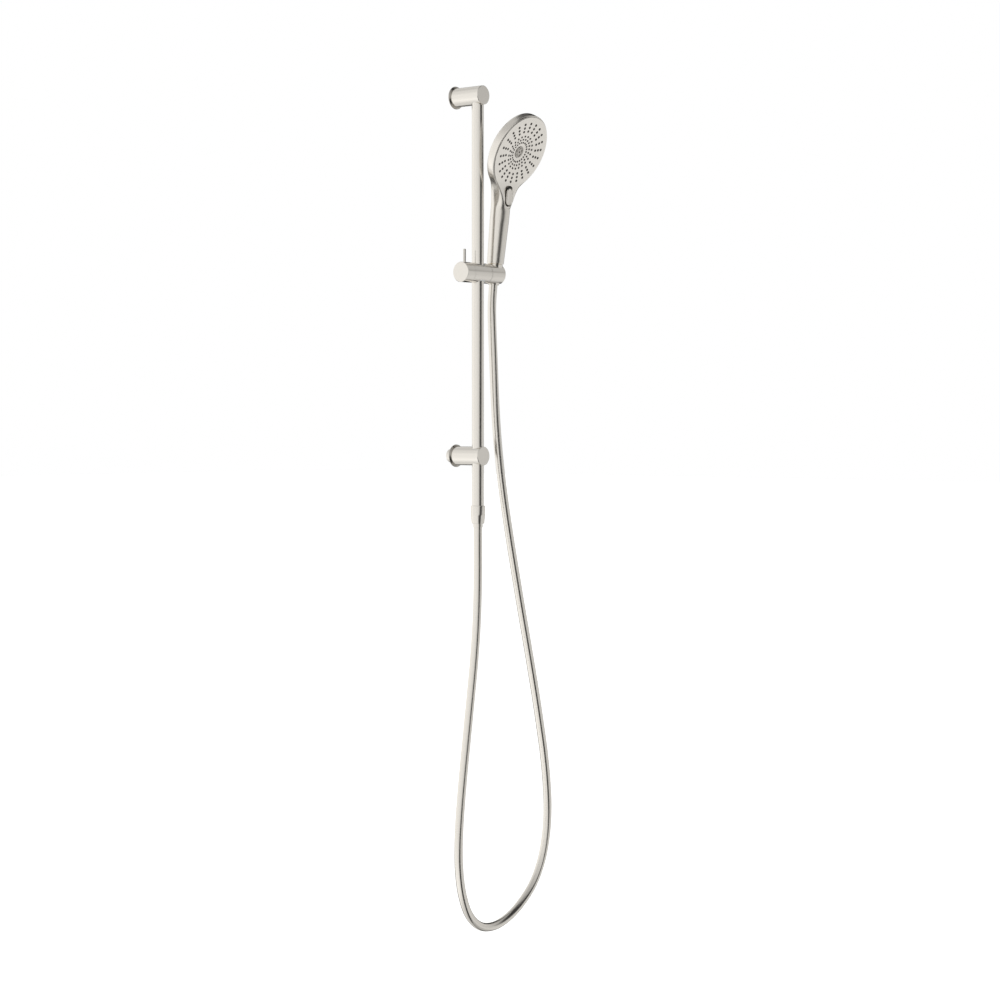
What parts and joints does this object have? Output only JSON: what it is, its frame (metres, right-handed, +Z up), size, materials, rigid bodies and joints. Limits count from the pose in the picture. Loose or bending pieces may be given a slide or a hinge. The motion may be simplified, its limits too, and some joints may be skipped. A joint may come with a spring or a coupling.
{
  "type": "hand shower set",
  "caption": "Round-faced hand shower on a wall rail with a clamping slider, a turning holder and a hanging hose.",
  "frame": {"origin": "centre of the lower bracket's water inlet where it passes through the wall face", "axes": "+Z up along the rail, +Y into the wall, +X to the right along the wall seen from the room"},
  "size_m": [0.2383, 0.1397, 1.353],
  "materials": {
    "nickel": "brushed nickel plating",
    "plated_body": "brushed nickel plating on moulded plastic",
    "brass": "machined",
    "seal_rubber": "matt",
    "inner_plastic": "moulded",
    "nozzle_silicone": "satin silicone",
    "hose_sleeve": "metal-look sleeve with a fine spiral rib"
  },
  "bodies": {
    "root": {"lower_flange": "nickel", "upper_flange": "nickel", "lower_bracket": "nickel", "upper_bracket": "nickel", "wall_nipple": "brass", "nipple_o_ring": "seal_rubber", "check_valve": "inner_plastic", "wall_spigot": "brass", "bracket_grub_screws": "nickel", "rail_tube": "nickel", "rail_top_plug": "inner_plastic", "rail_o_rings": "seal_rubber", "rail_outlet_nipple": "brass", "rail_hose_washer": "seal_rubber", "rail_hose_nut": "nickel", "rail_ferrule": "nickel", "hose": "hose_sleeve"},
    "bush": {"slider_bush": "inner_plastic"},
    "slider": {"slider_body": "nickel", "holder_pivot_screw": "brass", "holder_wave_washer": "inner_plastic"},
    "knob": {"lock_knob": "nickel", "lock_lever": "nickel"},
    "brake": {"brake_pad": "inner_plastic"},
    "holder": {"holder": "nickel"},
    "hose_end": {"handset_ferrule": "nickel"},
    "handset": {"cone_nut": "nickel", "handset_washer": "seal_rubber", "inlet_nipple": "brass", "handle_shell": "plated_body", "face_panel": "plated_body", "nozzle_mat": "nozzle_silicone", "spray_chamber": "inner_plastic", "centre_insert": "plated_body", "water_tube": "inner_plastic", "selector_valve": "inner_plastic", "button_spring": "brass"},
    "button": {"selector_button": "plated_body"}
  },
  "joints": [
    {"name": "slider_height", "type": "slide", "parent": "root", "child": "bush", "axis": [0, 0, 1], "range_m": [-0.25, 0.24], "deforming": ["hose"]},
    {"name": "slider_swivel", "type": "hinge", "parent": "bush", "child": "slider", "pos_m": [0, -0.046, 0.29], "axis": [0, 0, 1], "range_deg": [-30, 30]},
    {"name": "lock_turn", "type": "hinge", "parent": "slider", "child": "knob", "pos_m": [-0.032, -0.046, 0.29], "axis": [1, 0, 0], "range_deg": [0, 90]},
    {"name": "brake_travel", "type": "slide", "parent": "slider", "child": "brake", "axis": [-1, 0, 0], "range_m": [0, 0.0004]},
    {"name": "holder_tilt", "type": "hinge", "parent": "slider", "child": "holder", "pos_m": [0.018, -0.046, 0.29], "axis": [1, 0, 0], "range_deg": [0, 30]},
    {"name": "handset_lift", "type": "slide", "parent": "holder", "child": "hose_end", "axis": [0, -0.1219, 0.9925], "range_m": [0, 0.06]},
    {"name": "handset_turn", "type": "hinge", "parent": "hose_end", "child": "handset", "pos_m": [0.0405, -0.046, 0.29], "axis": [0, -0.1219, 0.9925], "range_deg": [-5, 90]},
    {"name": "button_press", "type": "slide", "parent": "handset", "child": "button", "axis": [-0.0698, 0.9901, 0.1216], "range_m": [0, 0.002], "stiffness_N_per_m": 900, "springref_m": -0.002, "deforming": ["button_spring"]}
  ],
  "couplings": [
    {"joint": "brake_travel", "follows": "lock_turn", "m_per_rad": 0.00023873}
  ]
}
